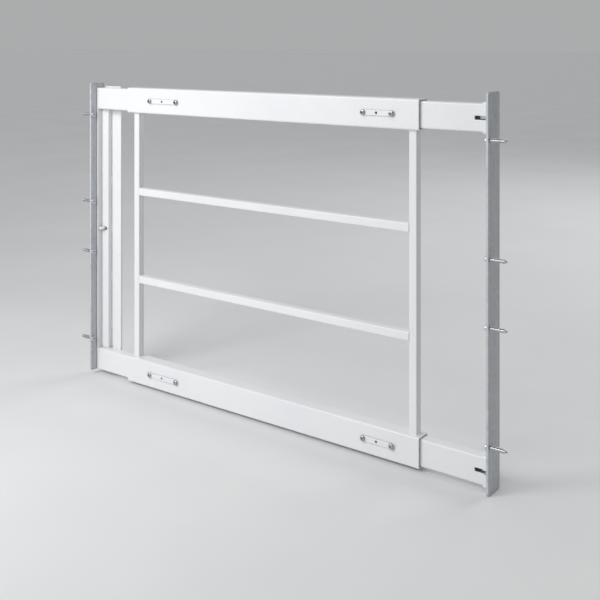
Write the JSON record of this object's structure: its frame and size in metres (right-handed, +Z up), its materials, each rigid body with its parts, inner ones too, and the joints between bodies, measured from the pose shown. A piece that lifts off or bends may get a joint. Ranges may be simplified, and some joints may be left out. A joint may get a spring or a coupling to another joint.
{
  "type": "window security bar",
  "caption": "Telescoping window security bar: welded centre frame, slide rails at both ends, a sprung release pin on the left and socket cups on the right.",
  "frame": {"origin": "on the left jamb's surface, on the line of the left jamb screws, halfway between them", "axes": "+X across the opening towards the right jamb as seen from the room, +Y from the room towards the glass, +Z up"},
  "size_m": [0.732, 0.031, 0.466],
  "materials": {
    "white_powder_coat": "semi-gloss white powder coat with light orange peel",
    "galvanised_steel": "dull galvanised sheet, cool grey with pale edges",
    "clamp_screw_steel": "zinc-plated button head screw",
    "zinc_plate": "bright zinc plate",
    "spring_steel": "oiled spring wire"
  },
  "bodies": {
    "left_end": {"left_jamb_plate": "galvanised_steel", "left_jamb_screws": "zinc_plate", "left_end_angle": "white_powder_coat", "lock_housing": "white_powder_coat", "left_upper_slide_rail": "white_powder_coat", "left_lower_slide_rail": "white_powder_coat", "lock_spring": "spring_steel"},
    "centre_frame": {"upper_outer_rail": "white_powder_coat", "lower_outer_rail": "white_powder_coat", "left_upright": "white_powder_coat", "right_upright": "white_powder_coat", "upper_crossbar": "white_powder_coat", "lower_crossbar": "white_powder_coat", "upper_left_clamp_strip": "white_powder_coat", "upper_right_clamp_strip": "white_powder_coat", "lower_left_clamp_strip": "white_powder_coat", "lower_right_clamp_strip": "white_powder_coat", "upper_left_clamp_screws": "clamp_screw_steel", "upper_right_clamp_screws": "clamp_screw_steel", "lower_left_clamp_screws": "clamp_screw_steel", "lower_right_clamp_screws": "clamp_screw_steel"},
    "right_end": {"right_upper_slide_rail": "white_powder_coat", "right_lower_slide_rail": "white_powder_coat", "right_jamb_plate": "galvanised_steel", "upper_socket_cup": "white_powder_coat", "lower_socket_cup": "white_powder_coat", "socket_pins": "zinc_plate", "right_jamb_screws": "zinc_plate"},
    "release_pin": {"release_pin": "white_powder_coat"}
  },
  "joints": [
    {"name": "left_telescope", "type": "slide", "parent": "left_end", "child": "centre_frame", "axis": [1, 0, 0], "range_m": [-0.035, 0.08]},
    {"name": "right_telescope", "type": "slide", "parent": "centre_frame", "child": "right_end", "axis": [1, 0, 0], "range_m": [-0.083, 0.08]},
    {"name": "release_pin_slide", "type": "slide", "parent": "left_end", "child": "release_pin", "axis": [1, 0, 0], "range_m": [0, 0.004], "deforming": ["lock_spring"]}
  ]
}
